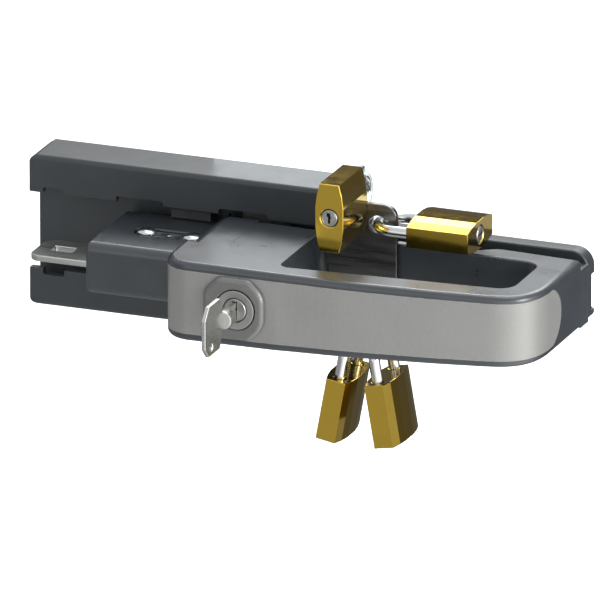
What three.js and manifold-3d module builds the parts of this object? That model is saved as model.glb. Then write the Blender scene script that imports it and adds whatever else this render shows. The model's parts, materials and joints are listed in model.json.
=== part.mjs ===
// Guard-door bolt handle with a lockout hasp and four brass padlocks.
// Millimetres, +Z up. X runs along the bolt and is measured from the left end of the guide rail,
// Y = 0 is the face that lies on the door frame and the front is towards -Y,
// Z = 0 is the middle of the bolt. The whole assembly is shifted so that the
// origin is the middle of the mounting face.
import * as THREE from 'three';
import { mergeVertices } from 'three/addons/utils/BufferGeometryUtils.js';
import Module from 'manifold-3d';

const wasm = await Module();
wasm.setup();

// ---------------------------------------------------------------- driving dimensions
const GAP = 0.3;                 // clearance between neighbouring pieces
const MOUNT_CENTRE_X = 138;      // middle of the mounting face

// Guide rail (C-profile)
const RAIL_LENGTH = 158;
const RAIL_HALF = 37.3;          // half of the rail's height
const RAIL_DEPTH = 24;
const RAIL_WALL = 3.5;
const LIP_BACK = 20;             // back face of the lips
const WEB_FRONT = 11;
const NOTCH_EDGE = 21.9;         // lip edge in a notch
const TAB_EDGE = 18.8;           // lip edge on a tab
const TABS = [[17.7, 44.1], [68.2, 96.1], [121.2, 148.8]];

// Right base plate and the groove that guides the handle's foot
const BASE_LEFT = RAIL_LENGTH + GAP;
const BASE_RIGHT = 276.6;
const BASE_HALF = 17.1;
const BASE_DEPTH = 8.5;
const GROOVE = [183, 271];
const GROOVE_HALF = 3.8;
const GROOVE_FLOOR = 4.5;

// Sliding housing
const CARRIAGE_LEFT = 46.4;
const CARRIAGE_HALF = 12.7;
const CARRIAGE_FRONT = 69;
const CARRIAGE_BACK = 17;
const HANDLE_LEFT = 95;
const HANDLE_RIGHT = 277;
const HANDLE_HALF = 19.5;        // half height at the lock
const HANDLE_HALF_RIGHT = 17.3;  // half height at the right end
const TAPER_START = 135;
const HANDLE_BACK = 26.5;
const HANDLE_FRONT = 97.5;
const COVER_HALF = 15.7;
const COVER_THICK = 2;
const COVER_BACK_LEFT = 69;
const LOCK_X = 134.2;
const BOLT_TRAVEL = 66;

// Hasp plate
const PLATE_LEFT = 155.3;
const PLATE_RIGHT = 190.7;
const PLATE_HALF = 38;
const PLATE_BACK = 33;
const PLATE_THICK = 3;
const HOLE_Z = 28;
const HOLE_R = 4.2;
const HOLE_XS = [168.9, 181.2];

// Padlocks
const LOCK_BODY_H = 31;
const LOCK_W = 33.2;
const SHACKLE_R = 2.75;
const LEG_SPREAD = 11;           // half the distance between the legs
const BOW_HEIGHT = 19.2;          // body face to the bow's centre line
const HEEL_DEPTH = 20;
const TOE_DEPTH = 7.6;
const PLUG_R = 4;

// ---------------------------------------------------------------- materials
const finish = (color, roughness, metalness) => () =>
  new THREE.MeshStandardMaterial({ color, roughness, metalness });
const darkCasting = finish(0x4b5257, 0.5, 0.3);
const darkRail = finish(0x41464b, 0.5, 0.3);
const coverSilver = finish(0xc3c1ba, 0.4, 0.6);
const stainless = finish(0xb4b6b2, 0.3, 0.9);
const zincSteel = finish(0x9fa2a3, 0.35, 0.8);
const hardSteel = finish(0xc6c8ca, 0.15, 1.0);
const brass = finish(0xb8952a, 0.2, 1.0);
const nickel = finish(0xb9b9b6, 0.25, 0.9);
const acetal = finish(0x1d1f21, 0.6, 0.0);
const rubber = finish(0x16171a, 0.9, 0.0);

// ---------------------------------------------------------------- solids
function toSolid(geometry) {
  const bare = geometry.clone();
  bare.deleteAttribute('normal');
  bare.deleteAttribute('uv');
  const merged = mergeVertices(bare, 1e-4);
  const mesh = new wasm.Mesh({
    numProp: 3,
    vertProperties: new Float32Array(merged.attributes.position.array),
    triVerts: new Uint32Array(merged.index.array),
  });
  return new wasm.Manifold(mesh);
}

function toGeometry(solid) {
  const mesh = solid.getMesh();
  const geometry = new THREE.BufferGeometry();
  geometry.setAttribute('position', new THREE.BufferAttribute(mesh.vertProperties, 3));
  geometry.setIndex(new THREE.BufferAttribute(mesh.triVerts, 1));
  return geometry;
}

// The outline's two coordinates and the extrusion run along these axes.
const FRAMES = {
  x: new THREE.Matrix4().makeBasis(
    new THREE.Vector3(0, 1, 0), new THREE.Vector3(0, 0, 1), new THREE.Vector3(1, 0, 0)),
  y: new THREE.Matrix4().makeBasis(
    new THREE.Vector3(0, 0, 1), new THREE.Vector3(1, 0, 0), new THREE.Vector3(0, 1, 0)),
  z: new THREE.Matrix4(),
};

// Outline points are (y, z) for x, (z, x) for y and (x, y) for z.
function prism(axis, outline, from, to, bevel = 0) {
  const geometry = new THREE.ExtrudeGeometry(new THREE.Shape(outline), {
    depth: to - from - 2 * bevel,
    bevelEnabled: bevel > 0,
    bevelThickness: bevel,
    bevelSize: bevel,
    bevelOffset: -bevel,
    bevelSegments: 2,
    curveSegments: 8,
  });
  geometry.translate(0, 0, from + bevel);
  geometry.applyMatrix4(FRAMES[axis]);
  return toSolid(geometry);
}

function box(x, y, z) {
  const geometry = new THREE.BoxGeometry(x[1] - x[0], y[1] - y[0], z[1] - z[0]);
  geometry.translate((x[0] + x[1]) / 2, (y[0] + y[1]) / 2, (z[0] + z[1]) / 2);
  return toSolid(geometry);
}

// A round bar along an axis; a and b are the other two coordinates in X, Y, Z order.
function bar(axis, a, b, radius, from, to, sides = 12) {
  const geometry = new THREE.CylinderGeometry(radius, radius, to - from, sides);
  const middle = (from + to) / 2;
  if (axis === 'x') geometry.rotateZ(Math.PI / 2).translate(middle, a, b);
  if (axis === 'y') geometry.translate(a, middle, b);
  if (axis === 'z') geometry.rotateX(Math.PI / 2).translate(a, b, middle);
  return toSolid(geometry);
}

// A solid turned about an axis parallel to Y; the profile holds (radius, y) points.
function turnedAboutY(x, z, profile, sides = 12) {
  const points = profile.map(([radius, y]) => new THREE.Vector2(radius, y));
  const geometry = new THREE.LatheGeometry(points, sides);
  geometry.translate(x, 0, z);
  return toSolid(geometry);
}

const join = (...solids) => solids.reduce((whole, solid) => whole.add(solid));
const cut = (blank, ...tools) => tools.reduce((whole, tool) => whole.subtract(tool), blank);

// A polygon whose corners [a, b, radius] are rounded by arcs.
function rounded(corners, steps = 4) {
  const points = [];
  corners.forEach(([a, b, radius = 0], i) => {
    const corner = new THREE.Vector2(a, b);
    if (radius === 0) {
      points.push(corner);
      return;
    }
    const before = corners[(i + corners.length - 1) % corners.length];
    const after = corners[(i + 1) % corners.length];
    const toBefore = new THREE.Vector2(before[0], before[1]).sub(corner).normalize();
    const toAfter = new THREE.Vector2(after[0], after[1]).sub(corner).normalize();
    const half = Math.acos(toBefore.dot(toAfter)) / 2;
    const start = corner.clone().addScaledVector(toBefore, radius / Math.tan(half));
    const end = corner.clone().addScaledVector(toAfter, radius / Math.tan(half));
    const middle = toBefore.clone().add(toAfter).normalize();
    const centre = corner.clone().addScaledVector(middle, radius / Math.sin(half));
    const first = start.clone().sub(centre).angle();
    let sweep = end.clone().sub(centre).angle() - first;
    if (sweep > Math.PI) sweep -= 2 * Math.PI;
    if (sweep < -Math.PI) sweep += 2 * Math.PI;
    for (let k = 0; k <= steps; k += 1) {
      const angle = first + (sweep * k) / steps;
      points.push(new THREE.Vector2(
        centre.x + radius * Math.cos(angle), centre.y + radius * Math.sin(angle)));
    }
  });
  return points;
}

const rectangle = (a0, a1, b0, b1, radius = 0, steps = 4) =>
  rounded([[a0, b0, radius], [a1, b0, radius], [a1, b1, radius], [a0, b1, radius]], steps);

const mirroredInZ = (solid) => solid.mirror([0, 0, 1]);

// Every corner of a convex outline moved inwards by a distance.
function inset(points, distance) {
  return points.map((point, i) => {
    const before = points[(i + points.length - 1) % points.length];
    const after = points[(i + 1) % points.length];
    const u = point.clone().sub(before).normalize();
    const v = after.clone().sub(point).normalize();
    const normal = new THREE.Vector2(-u.y - v.y, u.x + v.x).normalize();
    const stretch = 1 / Math.max(0.5, normal.dot(new THREE.Vector2(-u.y, u.x)));
    return point.clone().addScaledVector(normal, distance * stretch);
  });
}

// ---------------------------------------------------------------- scene graph
const assembly = new THREE.Group();
assembly.position.x = -MOUNT_CENTRE_X;

function place(name, solid, material, parent = assembly) {
  const mesh = new THREE.Mesh(toGeometry(solid), material());
  mesh.name = name;
  parent.add(mesh);
  return mesh;
}

// ---------------------------------------------------------------- guide rail
const RAIL_SCREWS = [[54, 5.5], [54, -5.5], [148, 5.5], [148, -5.5]];
const LOCK_HOLE_XS = [LOCK_X, LOCK_X - BOLT_TRAVEL];

function flushScrew(x, z, headRadius, shankRadius, face, headDepth) {
  const head = bar('y', x, z, headRadius, -face + 0.2, -face + headDepth);
  const shank = bar('y', x, z, shankRadius, -face + headDepth - 0.5, -GAP);
  const socket = bar('y', x, z, headRadius * 0.42, -face - 1, -face + headDepth * 0.6, 6);
  return cut(join(head, shank), socket);
}

function screwSeat(x, z, headRadius, shankRadius, face, headDepth) {
  return join(
    bar('y', x, z, headRadius + GAP, -face - 1, -face + headDepth + GAP),
    bar('y', x, z, shankRadius + GAP, -face, 1));
}

const RAIL_SCREW = { head: 4.5, shank: 2.7, depth: 5.5 };

function guideRail() {
  const body = prism('x', rounded([
    [0, -RAIL_HALF - 1],
    [0, RAIL_HALF + 1],
    [-RAIL_DEPTH, RAIL_HALF, 2.5],
    [-RAIL_DEPTH, TAB_EDGE],
    [-LIP_BACK, TAB_EDGE],
    [-LIP_BACK, RAIL_HALF - RAIL_WALL],
    [-WEB_FRONT, RAIL_HALF - RAIL_WALL],
    [-WEB_FRONT, -RAIL_HALF + RAIL_WALL],
    [-LIP_BACK, -RAIL_HALF + RAIL_WALL],
    [-LIP_BACK, -TAB_EDGE],
    [-RAIL_DEPTH, -TAB_EDGE],
    [-RAIL_DEPTH, -RAIL_HALF, 2.5],
  ], 3), 0, RAIL_LENGTH);

  const tools = [];
  const notchEnds = [6.8, ...TABS.flat(), RAIL_LENGTH + 1];
  for (let i = 0; i < notchEnds.length; i += 2) {
    const notch = [notchEnds[i], notchEnds[i + 1]];
    tools.push(box(notch, [-RAIL_DEPTH - 1, -LIP_BACK + 1], [TAB_EDGE - 1, NOTCH_EDGE]));
    tools.push(box(notch, [-RAIL_DEPTH - 1, -LIP_BACK + 1], [-NOTCH_EDGE, -TAB_EDGE + 1]));
  }
  RAIL_SCREWS.forEach(([x, z]) => {
    tools.push(screwSeat(x, z, RAIL_SCREW.head, RAIL_SCREW.shank, WEB_FRONT, RAIL_SCREW.depth));
  });
  LOCK_HOLE_XS.forEach((x) => tools.push(bar('y', x, 0, 3.6, -WEB_FRONT - 1, -WEB_FRONT + 9)));
  // Corner rounding of the left end, seen from the front.
  const corner = 4;
  const cornerTool = cut(
    box([-1, corner], [-RAIL_DEPTH - 1, -LIP_BACK + 0.5], [RAIL_HALF - corner, RAIL_HALF + 2]),
    bar('y', corner, RAIL_HALF - corner, corner, -RAIL_DEPTH - 2, 2));
  tools.push(cornerTool, mirroredInZ(cornerTool));
  // Pockets in the back leave ribs that lie on the door frame.
  const pocketXs = [[5, 27], [31, 46], [74, 96], [100, 122]];
  const pocketZs = [[6, 32], [-32, -6]];
  pocketXs.forEach((x) => pocketZs.forEach((z) => tools.push(box(x, [-7.5, 1], z))));
  return cut(body, ...tools);
}

place('guide_rail', guideRail(), darkRail);
RAIL_SCREWS.forEach(([x, z], i) => {
  const screw = flushScrew(x, z, RAIL_SCREW.head, RAIL_SCREW.shank, WEB_FRONT, RAIL_SCREW.depth);
  place(`rail_screw_${i + 1}`, screw, zincSteel);
});

// Rubber stops in the channel, above and below, that the right guide shoe rests against.
function travelStop(name, side) {
  const z = side > 0 ? [22.5, 32.5] : [-32.5, -22.5];
  place(name, box([128.6, 141], [-18.5, -WEB_FRONT - GAP], z), rubber);
}
travelStop('travel_stop_upper', 1);
travelStop('travel_stop_lower', -1);

// ---------------------------------------------------------------- right base plate
const BASE_SCREWS = [[212, 9], [212, -9], [262, 9], [262, -9]];
const BASE_SCREW = { head: 3.2, shank: 1.8, depth: 4 };
const BRACKET_XS = [163.5, 178];
const BRACKET_SCREW = { x: 170.7, z: 14.2, head: 3.4, shank: 2 };

function basePlate() {
  const outline = rounded([
    [-BASE_HALF, BASE_LEFT],
    [-BASE_HALF, BASE_RIGHT, 3],
    [BASE_HALF, BASE_RIGHT, 8.5],
    [BASE_HALF, BASE_LEFT],
  ]);
  const groove = box(GROOVE, [-BASE_DEPTH - 1, -GROOVE_FLOOR], [-GROOVE_HALF, GROOVE_HALF]);
  const endStep = box([BASE_RIGHT - 1.7, BASE_RIGHT + 1], [-4, 1], [-13, 5]);
  const tools = [groove, endStep];
  BASE_SCREWS.forEach(([x, z]) => {
    tools.push(screwSeat(x, z, BASE_SCREW.head, BASE_SCREW.shank, BASE_DEPTH, BASE_SCREW.depth));
  });
  [1, -1].forEach((side) => {
    tools.push(bar('y', BRACKET_SCREW.x, side * BRACKET_SCREW.z, BRACKET_SCREW.shank + GAP, -12, -2));
  });
  return cut(prism('y', outline, -BASE_DEPTH, 0), ...tools);
}

place('right_base_plate', basePlate(), darkRail);
BASE_SCREWS.forEach(([x, z], i) => {
  const screw = flushScrew(x, z, BASE_SCREW.head, BASE_SCREW.shank, BASE_DEPTH, BASE_SCREW.depth);
  place(`base_screw_${i + 1}`, screw, zincSteel);
});

// ---------------------------------------------------------------- hasp
function haspHoles(depth) {
  return HOLE_XS.flatMap((x) => [HOLE_Z, -HOLE_Z].map((z) =>
    bar('y', x, z, HOLE_R, depth[0], depth[1], 20)));
}

function haspPlate() {
  const outline = rectangle(-PLATE_HALF, PLATE_HALF, PLATE_LEFT, PLATE_RIGHT, 6.5, 6);
  const notch = box([PLATE_LEFT - 1, PLATE_LEFT + 1.4], [-40, -30], [1.4, 5.4]);
  const back = -PLATE_BACK;
  return cut(prism('y', outline, back - PLATE_THICK, back), ...haspHoles([-40, -30]), notch);
}
place('hasp_plate', haspPlate(), hardSteel);

// A bracket carries a lug with two holes behind the plate, so that the shackles
// pin the plate to it.
const LUG_FRONT = PLATE_BACK - GAP;
const LUG_BACK = LUG_FRONT - 3.2;
function haspBracket(side) {
  const foot = box(BRACKET_XS, [-BASE_DEPTH - GAP - 3, -BASE_DEPTH - GAP], [10, 23.5]);
  const arm = box(BRACKET_XS, [-LUG_FRONT, -BASE_DEPTH - GAP], [20.5, 23.5]);
  const lugOutline = rounded([
    [20.5, BRACKET_XS[0]], [20.5, 187], [35.5, 187, 5], [35.5, BRACKET_XS[0], 5],
  ]);
  const lug = prism('y', lugOutline, -LUG_FRONT, -LUG_BACK);
  const screwHoleTool = bar('y', BRACKET_SCREW.x, BRACKET_SCREW.z, BRACKET_SCREW.shank + GAP, -20, -5);
  const upper = cut(join(foot, arm, lug), screwHoleTool, ...haspHoles([-40, -25]));
  return side > 0 ? upper : mirroredInZ(upper);
}

function panScrew(x, z, seat, tip, { head, shank }) {
  const dome = turnedAboutY(x, z, [
    [0, -seat - 2.4], [head * 0.55, -seat - 2.2], [head * 0.9, -seat - 1.4], [head, -seat - 0.2],
    [shank, -seat - 0.2], [shank, -tip], [0, -tip],
  ]);
  return cut(dome, bar('y', x, z, head * 0.42, -seat - 3, -seat - 1, 6));
}

[['upper', 1], ['lower', -1]].forEach(([word, side]) => {
  place(`hasp_bracket_${word}`, haspBracket(side), zincSteel);
  const seat = BASE_DEPTH + GAP + 3;
  const screw = panScrew(BRACKET_SCREW.x, side * BRACKET_SCREW.z, seat, 2.5, BRACKET_SCREW);
  place(`bracket_screw_${word}`, screw, zincSteel);
});

// ---------------------------------------------------------------- sliding housing
// The handle gets lower from the lock to its right end.
function halfHeight(x) {
  const t = Math.max(0, (x - TAPER_START) / (HANDLE_RIGHT - TAPER_START));
  return HANDLE_HALF - (HANDLE_HALF - HANDLE_HALF_RIGHT) * t;
}

function tapered(solid) {
  return solid.warp((vertex) => {
    vertex[2] *= halfHeight(vertex[0]) / HANDLE_HALF;
  });
}

// Plan of the handle, seen from above: a straight front by the lock that bends
// back gently towards the right end.
function handlePlan(back) {
  const front = new THREE.SplineCurve([
    [160, -96.9], [184, -96], [207, -94], [232, -91.2], [254, -88],
  ].map(([x, y]) => new THREE.Vector2(x, y))).getPoints(8);
  const leftCorner = rounded([
    [HANDLE_LEFT, -back], [HANDLE_LEFT, -HANDLE_FRONT, 14], [150, -HANDLE_FRONT],
  ], 6).slice(1, -1);
  const rightCorner = new THREE.CubicBezierCurve(
    new THREE.Vector2(258, -87.2), new THREE.Vector2(269, -84.8),
    new THREE.Vector2(276, -78.5), new THREE.Vector2(HANDLE_RIGHT, -62)).getPoints(7);
  return [
    new THREE.Vector2(HANDLE_LEFT, -back),
    ...leftCorner,
    ...front,
    ...rightCorner,
    new THREE.Vector2(HANDLE_RIGHT, -back),
  ];
}

const GRIP_LEFT = 150.2;
const GRIP_RIGHT = 261.6;
const GRIP_BACK = 32.5;
const GRIP_FRONT_LEFT = 85.1;
const GRIP_FRONT_RIGHT = 72.9;
const gripOutline = () => rounded([
  [GRIP_LEFT, -GRIP_BACK, 4.5], [GRIP_LEFT, -GRIP_FRONT_LEFT, 4.5],
  [GRIP_RIGHT, -GRIP_FRONT_RIGHT, 8.5], [GRIP_RIGHT, -GRIP_BACK, 7],
]);

// The cover ends in a round nose on the handle's right side.
const COVER_END = 45;
const COVER_NOSE_R = 17;
function coverRegion(gap) {
  const half = COVER_HALF + gap;
  const left = box([90, 200], [-110, -COVER_BACK_LEFT + gap], [-half, half]);
  const middle = box([190, 300], [-110, -COVER_END - COVER_NOSE_R], [-half, half]);
  const nose = bar('x', -COVER_END - COVER_NOSE_R, 0, COVER_NOSE_R + gap, 240, 300, 40);
  const clipped = nose.intersect(box([240, 300], [-110, 0], [-half, half]));
  return join(left, middle, clipped);
}

const handleBlank = (distance) => prism('z', inset(handlePlan(HANDLE_BACK), distance), -25, 25);

function coverBand(gap) {
  const inner = handleBlank(COVER_THICK + gap);
  const outer = gap > 0 ? handleBlank(-1) : handleBlank(0);
  return cut(outer, inner).intersect(coverRegion(gap));
}

const PIN_XS = [67.2, 90.3];
const PIN_Y = -42.5;
const TONGUE_Y = [-63, -38];
const TONGUE_HALF = 1.5;
const FOOT_LEFT = 229;

function slideHousing() {
  const carriageOutline = rounded([
    [-CARRIAGE_HALF, CARRIAGE_LEFT, 2.5], [-CARRIAGE_HALF, 91, 5], [-HANDLE_HALF, 103, 5],
    [-HANDLE_HALF, 118], [HANDLE_HALF, 118], [HANDLE_HALF, 103, 5],
    [CARRIAGE_HALF, 91, 5], [CARRIAGE_HALF, CARRIAGE_LEFT, 2.5],
  ], 4);
  const carriage = prism('y', carriageOutline, -CARRIAGE_FRONT, -CARRIAGE_BACK, 1.5);
  const handle = tapered(prism('z', handlePlan(HANDLE_BACK), -HANDLE_HALF, HANDLE_HALF, 3));
  const footPlan = rectangle(FOOT_LEFT, HANDLE_RIGHT, -HANDLE_BACK - 4.5, -18.5);
  const footBlock = tapered(prism('z', footPlan, -HANDLE_HALF + 0.2, HANDLE_HALF - 0.2));
  const heel = box([255, HANDLE_RIGHT], [-19, -BASE_DEPTH - 0.4], [-17, 11.6]);
  const grooveHalf = GROOVE_HALF - GAP;
  const guide = box([256, 270], [-BASE_DEPTH - 1, -GROOVE_FLOOR - 0.5], [-grooveHalf, grooveHalf]);
  const bodyParts = join(carriage, handle, footBlock, heel, guide);

  const gripOpening = prism('z', gripOutline(), -25, 25);
  const behindLips = box([100, FOOT_LEFT - 1], [-HANDLE_BACK, -10], [-25, 25]);
  const tongueSlot = box([40, 102], [TONGUE_Y[0] - GAP, TONGUE_Y[1] + GAP],
    [-TONGUE_HALF - GAP, TONGUE_HALF + GAP]);
  const shoePocket = box([57, 97], [-33.3, -10], [-9.3, 9.3]);
  const recess = prism('z', rectangle(61.2, 96.4, PIN_Y - 5.3, PIN_Y + 5.3, 5.2, 6), 10.2, 25);
  const pinBores = PIN_XS.map((x) => bar('z', x, PIN_Y, 2.5 + GAP, -9, 20));
  const lockCavity = box([112, 147.5], [-84, -10], [-14, 14]);
  const lockBore = bar('y', LOCK_X, 0, 9 + GAP, -110, -80, 32);
  return cut(bodyParts, gripOpening, behindLips, tongueSlot, shoePocket, recess, ...pinBores,
    lockCavity, lockBore, coverBand(GAP));
}
place('slide_housing', slideHousing(), darkCasting);

// Silver cover over the front of the handle.
function gripCover() {
  return cut(coverBand(0), bar('y', LOCK_X, 0, 10.2, -110, -80, 32));
}
place('grip_cover', gripCover(), coverSilver);

// Raised octagonal bezel around the lock.
const BEZEL_FRONT = 100.2;
function lockBezel() {
  const halfW = 15.3;
  const halfH = 15.2;
  const cornerW = 8;
  const centreX = LOCK_X - 1.2;
  const outline = rounded([
    [-halfH, centreX - cornerW, 6], [-halfH, centreX + cornerW, 6],
    [-cornerW, centreX + halfW, 12], [cornerW, centreX + halfW, 12],
    [halfH, centreX + cornerW, 6], [halfH, centreX - cornerW, 6],
    [cornerW, centreX - halfW, 6], [-cornerW, centreX - halfW, 6],
  ], 3);
  const plate = prism('y', outline, -BEZEL_FRONT, -HANDLE_FRONT - GAP, 0.8);
  return cut(plate, bar('y', LOCK_X, 0, 9.9, -110, -80, 32));
}
place('lock_bezel', lockBezel(), nickel);

// Rear cover that closes the lock cavity and guides the lock rod.
const REAR_COVER_FRONT = HANDLE_BACK - GAP;
const REAR_COVER_BACK = 24.3;
function rearCover() {
  const plate = prism('y', rectangle(-15.5, 15.5, 105, 158, 2), -REAR_COVER_FRONT, -REAR_COVER_BACK);
  return cut(plate, bar('y', LOCK_X, 0, 3 + GAP, -30, -20));
}
place('rear_cover', rearCover(), zincSteel);

// ---------------------------------------------------------------- guide shoes
const SHOE_BACK = WEB_FRONT + 0.3;
const SHOE_WING_FRONT = LIP_BACK - 0.4;
function leftShoe() {
  const half = [
    [-SHOE_BACK, 33], [-SHOE_WING_FRONT, 33], [-SHOE_WING_FRONT, CARRIAGE_HALF + 0.5],
    [-CARRIAGE_BACK + GAP, CARRIAGE_HALF + 0.5], [-CARRIAGE_BACK + GAP, 9], [-33, 9],
  ];
  const mirrored = half.map(([y, z]) => [y, -z]).reverse();
  return prism('x', rounded([...half, ...mirrored]), 70.5, 90.5);
}
place('guide_shoe_left', leftShoe(), acetal);

function rightShoe() {
  const half = [
    [-SHOE_BACK, 33], [-SHOE_WING_FRONT, 33], [-SHOE_WING_FRONT, 15],
    [-REAR_COVER_BACK + GAP, 15],
  ];
  const mirrored = half.map(([y, z]) => [y, -z]).reverse();
  return prism('x', rounded([...half, ...mirrored]), 107, 128);
}
place('guide_shoe_right', rightShoe(), acetal);

// ---------------------------------------------------------------- bolt tongue and its clamp
function boltTongue() {
  const outline = rounded([
    [15, TONGUE_Y[0], 5], [100, TONGUE_Y[0]], [100, TONGUE_Y[1]], [20, TONGUE_Y[1]], [15, TONGUE_Y[1] - 5],
  ]);
  const slot = prism('z', rectangle(22.5, 33.5, -53.5, -46.5, 1), -5, 5);
  const holes = PIN_XS.map((x) => bar('z', x, PIN_Y, 2.5 + GAP, -5, 5));
  return cut(prism('z', outline, -TONGUE_HALF, TONGUE_HALF), slot, ...holes);
}
place('bolt_tongue', boltTongue(), stainless);

function clampPlate() {
  const plate = prism('z', rectangle(62, 95.6, PIN_Y - 4.6, PIN_Y + 4.6, 4.5, 6), 10.5, 11.7);
  const holes = PIN_XS.map((x) => bar('z', x, PIN_Y, 2.5 + GAP, 5, 15));
  return cut(plate, bar('z', 78.8, PIN_Y, 1.3, 5, 15), ...holes);
}
place('clamp_plate', clampPlate(), zincSteel);

PIN_XS.forEach((x, i) => {
  const profile = [
    [0, -8.7], [2.5, -8.7], [2.5, 12], [4.8, 12], [4.8, 12.9], [4.1, 13.7], [2.4, 14.2], [0, 14.3],
  ];
  const points = profile.map(([radius, z]) => new THREE.Vector2(radius, z));
  const geometry = new THREE.LatheGeometry(points, 16);
  geometry.rotateX(Math.PI / 2);
  geometry.translate(x, PIN_Y, 0);
  place(`clamp_pin_${i + 1}`, toSolid(geometry), hardSteel);
});

// ---------------------------------------------------------------- key lock
const CYLINDER_FRONT = 100.4;
const CYLINDER_BACK = 72;
function lockCylinder() {
  const rim = bar('y', LOCK_X, 0, 9.6, -CYLINDER_FRONT, -CYLINDER_FRONT + 2.4, 32);
  const barrel = bar('y', LOCK_X, 0, 9, -CYLINDER_FRONT + 2, -CYLINDER_BACK, 32);
  return cut(join(rim, barrel), bar('y', LOCK_X, 0, 5.6 + GAP, -110, -60, 32));
}
place('lock_cylinder', lockCylinder(), nickel);

function lockNut() {
  const nut = bar('y', LOCK_X, 0, 13, -83.6, -79, 6);
  return cut(nut, bar('y', LOCK_X, 0, 9 + GAP, -90, -70, 32));
}
place('lock_nut', lockNut(), zincSteel);

// The plug, the key in it and the cam behind it turn together.
const PLUG_BACK = 70;
function keyPlug() {
  const plug = bar('y', LOCK_X, 0, 5.6, -CYLINDER_FRONT, -PLUG_BACK, 32);
  return cut(plug, box([LOCK_X - 1.3, LOCK_X + 1.3], [-110, -80], [-4.4, 4.4]));
}
place('key_plug', keyPlug(), nickel);

const KEY_BOW_FRONT = 140.3;
const KEY_BOW_BACK = 117.5;
function lockKey() {
  const bow = prism('x', rounded([
    [-KEY_BOW_BACK, 4, 1], [-KEY_BOW_BACK - 4, 12.7, 2], [-KEY_BOW_FRONT + 5, 12.7, 2],
    [-KEY_BOW_FRONT, 7, 2], [-KEY_BOW_FRONT, -7, 2], [-KEY_BOW_FRONT + 5, -12, 2],
    [-KEY_BOW_BACK - 4, -12, 2], [-KEY_BOW_BACK, -4, 1],
  ], 2), LOCK_X - 1, LOCK_X + 1);
  const blade = box([LOCK_X - 1, LOCK_X + 1], [-KEY_BOW_BACK - 1, -81], [-4, 4]);
  const hub = bar('y', LOCK_X, 0, 4.6, -KEY_BOW_BACK + 1, -CYLINDER_FRONT - 8, 16);
  const eye = bar('x', -132.5, -8, 1.8, LOCK_X - 3, LOCK_X + 3, 16);
  return cut(join(bow, blade, hub), eye);
}
place('key', lockKey(), stainless);

// Barrel cam: a stair of sectors that rises by the rod's travel in a quarter turn.
const CAM_FRONT = PLUG_BACK - GAP;
const CAM_RISE = 8;
const CAM_R = 9;
const CAM_BASE = 3;
function barrelCam() {
  const sectors = 9;
  const disc = bar('y', LOCK_X, 0, CAM_R, -CAM_FRONT, -CAM_FRONT + CAM_BASE, 36);
  const steps = [];
  for (let i = 1; i <= sectors; i += 1) {
    const start = THREE.MathUtils.degToRad(25 + (i - 1) * 10);
    const end = THREE.MathUtils.degToRad(25 + i * 10 + (i === sectors ? 30 : 0));
    const outline = [];
    const arcSteps = i === sectors ? 4 : 1;
    for (let k = 0; k <= arcSteps; k += 1) {
      const angle = start + ((end - start) * k) / arcSteps;
      outline.push([(CAM_R - 0.2) * Math.sin(angle), LOCK_X + (CAM_R - 0.2) * Math.cos(angle)]);
    }
    for (let k = arcSteps; k >= 0; k -= 1) {
      const angle = start + ((end - start) * k) / arcSteps;
      outline.push([3 * Math.sin(angle), LOCK_X + 3 * Math.cos(angle)]);
    }
    const top = -CAM_FRONT + CAM_BASE + (CAM_RISE * (i - 0.5)) / sectors - 0.6;
    const points = outline.map(([z, x]) => new THREE.Vector2(z, x));
    steps.push(prism('y', points, -CAM_FRONT + CAM_BASE - 0.5, Math.max(top, -CAM_FRONT + CAM_BASE + 0.1)));
  }
  return join(disc, ...steps);
}
place('lock_cam', barrelCam(), zincSteel);

// Rod that the cam pushes back into the rail's web.
const ROD_TIP = WEB_FRONT + 1.5;
const ROD_HEAD = CAM_FRONT - CAM_BASE - 0.6;
function lockRod() {
  const shaft = bar('y', LOCK_X, 0, 3, -ROD_HEAD + 14, -ROD_TIP, 20);
  const cup = bar('y', LOCK_X, 0, 10.5, -ROD_HEAD + 12, -ROD_HEAD + 15, 32);
  const follower = bar('y', LOCK_X + 6, 0, 1.2, -ROD_HEAD, -ROD_HEAD + 13, 12);
  return join(shaft, cup, follower);
}
place('lock_rod', lockRod(), stainless);

// Return spring between the rod's cup and the rear cover.
class Helix extends THREE.Curve {
  constructor(radius, from, to, turns) {
    super();
    Object.assign(this, { radius, from, to, turns });
  }

  getPoint(t) {
    const angle = 2 * Math.PI * this.turns * t;
    return new THREE.Vector3(
      LOCK_X + this.radius * Math.cos(angle),
      this.from + (this.to - this.from) * t,
      this.radius * Math.sin(angle));
  }
}

function returnSpring() {
  const wire = new THREE.Shape().absarc(0, 0, 0.6, 0, 2 * Math.PI);
  const from = -ROD_HEAD + 15 + 0.6 + GAP;
  const to = -REAR_COVER_FRONT - 0.6 - GAP;
  return toSolid(new THREE.ExtrudeGeometry(wire, {
    steps: 50, curveSegments: 2, bevelEnabled: false, extrudePath: new Helix(5, from, to, 5),
  }));
}
place('rod_spring', returnSpring(), hardSteel);

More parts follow.
